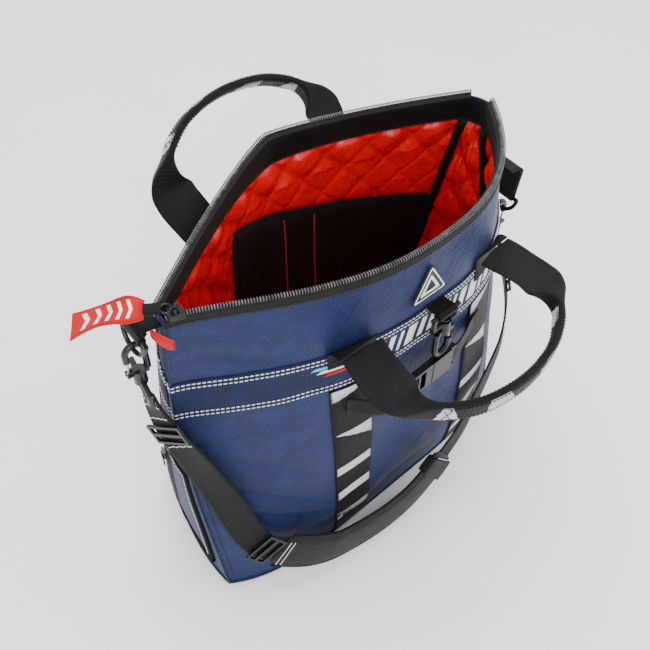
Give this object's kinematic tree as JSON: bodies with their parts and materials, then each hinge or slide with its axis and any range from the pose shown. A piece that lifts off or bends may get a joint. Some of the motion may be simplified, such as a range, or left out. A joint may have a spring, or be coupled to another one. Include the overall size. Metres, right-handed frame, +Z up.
{
  "type": "flight bag",
  "caption": "Soft flight bag with an open top zip, quilted lining, two folded webbing handles, a padded shoulder strap on swivel snap hooks and a clip-on buckle strap.",
  "frame": {"origin": "On the ground plane, at the middle of the bag's own base, under the middle of the open mouth.", "axes": "+Z up. +X along the long way of the bag, to the right as seen from its front. The front with the band and the patch faces -Y."},
  "size_m": [0.5472, 0.4495, 0.4481],
  "materials": {
    "nylon_navy": "woven nylon",
    "nylon_band": "woven nylon",
    "nylon_base": "coated woven nylon",
    "quilted_satin": "quilted satin with a soft sheen",
    "facing": "woven tape",
    "board": "stiff base board",
    "zip_tape": "woven tape",
    "zip_coil": "nylon coil",
    "zip_metal": "satin black",
    "ribbon_red": "twill ribbon",
    "webbing": "woven nylon webbing",
    "mesh": "open knit mesh",
    "binding": "grosgrain",
    "patch_rubber": "moulded soft rubber",
    "plastic": "moulded plastic",
    "wire": "bright wire",
    "pad": "padded woven nylon"
  },
  "bodies": {
    "bag": {"front_panel": "nylon_navy", "back_panel": "nylon_navy", "left_gusset": "nylon_navy", "right_gusset": "nylon_navy", "bottom_panel": "nylon_base", "bottom_board": "board", "lining_front": "quilted_satin", "lining_back": "quilted_satin", "lining_left": "quilted_satin", "lining_right": "quilted_satin", "lining_floor": "quilted_satin", "facing_front": "facing", "facing_back": "facing", "zip_tape_front": "zip_tape", "zip_tape_back": "zip_tape", "zip_teeth_front": "zip_coil", "zip_teeth_back": "zip_coil", "zip_slider": "zip_metal", "zip_end_tab": "ribbon_red", "front_band": "nylon_band", "back_band": "nylon_band", "side_bands": "nylon_band", "front_webbing_left": "webbing", "front_webbing_right": "webbing", "back_webbings": "webbing", "handle_anchors": "webbing", "mesh_pocket": "mesh", "mesh_pocket_binding": "binding", "side_pocket": "nylon_navy", "side_pocket_zip": "binding", "compression_strap_left": "webbing", "compression_strap_right": "webbing", "buckle_female": "plastic", "triangle_patch": "patch_rubber", "patch_loop": "webbing", "ring_loop_left": "webbing", "ring_loop_right": "webbing"},
    "front_handle": {"front_handle": "webbing"},
    "back_handle": {"back_handle": "webbing"},
    "zip_pull": {"zip_pull_ring": "zip_metal", "pull_tab": "webbing", "pull_ribbon": "ribbon_red"},
    "side_pocket_slider": {"side_pocket_slider": "zip_metal"},
    "buckle_male": {"buckle_male": "plastic"},
    "patch_swivel": {"patch_swivel": "plastic"},
    "patch_hook": {"patch_hook": "plastic"},
    "patch_gate": {"patch_gate": "wire"},
    "d_ring_left": {"d_ring_left": "plastic"},
    "d_ring_right": {"d_ring_right": "plastic"},
    "shoulder_strap": {"strap_hook_left": "plastic", "strap_hook_right": "plastic", "strap_webbing_left": "webbing", "strap_webbing_right": "webbing", "strap_adjusters": "plastic", "shoulder_pad": "pad", "pad_keeper": "pad"},
    "strap_gate_left": {"strap_gate_left": "wire"},
    "strap_gate_right": {"strap_gate_right": "wire"}
  },
  "joints": [
    {"name": "front_handle_fold", "type": "hinge", "parent": "bag", "child": "front_handle", "pos_m": [0.025, -0.11099, 0.347], "axis": [-1, 0, 0], "range_deg": [-40, 72]},
    {"name": "back_handle_fold", "type": "hinge", "parent": "bag", "child": "back_handle", "pos_m": [0.013, 0.10641, 0.347], "axis": [1, 0, 0], "range_deg": [-95, 30]},
    {"name": "zip_pull_swing", "type": "hinge", "parent": "bag", "child": "zip_pull", "pos_m": [-0.20737, -0.01779, 0.434], "axis": [0.6157, 0.788, 0], "range_deg": [0, 120]},
    {"name": "side_pocket_zip_run", "type": "slide", "parent": "bag", "child": "side_pocket_slider", "axis": [0.019, 0.0734, -0.9971], "range_m": [0, 0.1]},
    {"name": "buckle_release", "type": "slide", "parent": "bag", "child": "buckle_male", "axis": [-1, 0, 0], "range_m": [0, 0.027]},
    {"name": "patch_swivel_hang", "type": "hinge", "parent": "bag", "child": "patch_swivel", "pos_m": [0.028, -0.131, 0.338], "axis": [-1, 0, 0], "range_deg": [0, 60]},
    {"name": "patch_hook_turn", "type": "hinge", "parent": "patch_swivel", "child": "patch_hook", "pos_m": [0.028, -0.131, 0.338], "axis": [0, 0, 1], "continuous": true},
    {"name": "patch_gate_open", "type": "hinge", "parent": "patch_hook", "child": "patch_gate", "pos_m": [0.0376, -0.131, 0.30896], "axis": [0, 1, 0], "range_deg": [0, 28], "stiffness_Nm_per_rad": 0.05},
    {"name": "left_ring_tilt", "type": "hinge", "parent": "bag", "child": "d_ring_left", "pos_m": [-0.238, 0.009, 0.402], "axis": [0.0846, 0.9964, 0], "range_deg": [-4, 3]},
    {"name": "right_ring_tilt", "type": "hinge", "parent": "bag", "child": "d_ring_right", "pos_m": [0.245, -0.032, 0.302], "axis": [0.0846, 0.9964, 0], "range_deg": [-4, 3]},
    {"name": "strap_swing", "type": "hinge", "parent": "bag", "child": "shoulder_strap", "pos_m": [0.0035, -0.0115, 0.352], "axis": [-0.9759, 0.0828, 0.202], "range_deg": [0, 52]},
    {"name": "left_gate_open", "type": "hinge", "parent": "shoulder_strap", "child": "strap_gate_left", "pos_m": [-0.25179, 0.01017, 0.35303], "axis": [0.0846, 0.9964, 0], "range_deg": [0, 28], "stiffness_Nm_per_rad": 0.05},
    {"name": "right_gate_open", "type": "hinge", "parent": "shoulder_strap", "child": "strap_gate_right", "pos_m": [0.25034, -0.03245, 0.25303], "axis": [-0.0846, -0.9964, 0], "range_deg": [0, 28], "stiffness_Nm_per_rad": 0.05}
  ]
}
